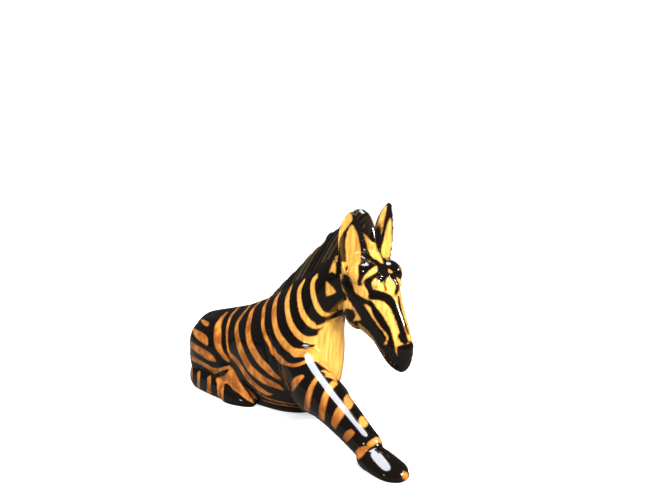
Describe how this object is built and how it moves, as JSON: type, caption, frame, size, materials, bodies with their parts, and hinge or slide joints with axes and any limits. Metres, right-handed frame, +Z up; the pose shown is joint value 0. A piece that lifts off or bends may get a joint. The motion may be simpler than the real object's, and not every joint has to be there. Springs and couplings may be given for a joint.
{
  "type": "zebra figurine",
  "caption": "Carved and painted wooden zebra lying down, one foreleg stretched forward, standing on its flat-cut underside.",
  "frame": {"origin": "on the ground, below the middle of the figure's box", "axes": "+X towards the head and the stretched hoof, +Y to the animal's left, +Z up"},
  "size_m": [0.2098, 0.0544, 0.1104],
  "materials": {
    "varnished_wood": "glossy varnish over amber wood with hand-painted near-black stripes"
  },
  "bodies": {
    "root": {"zebra": "varnished_wood"}
  },
  "joints": []
}
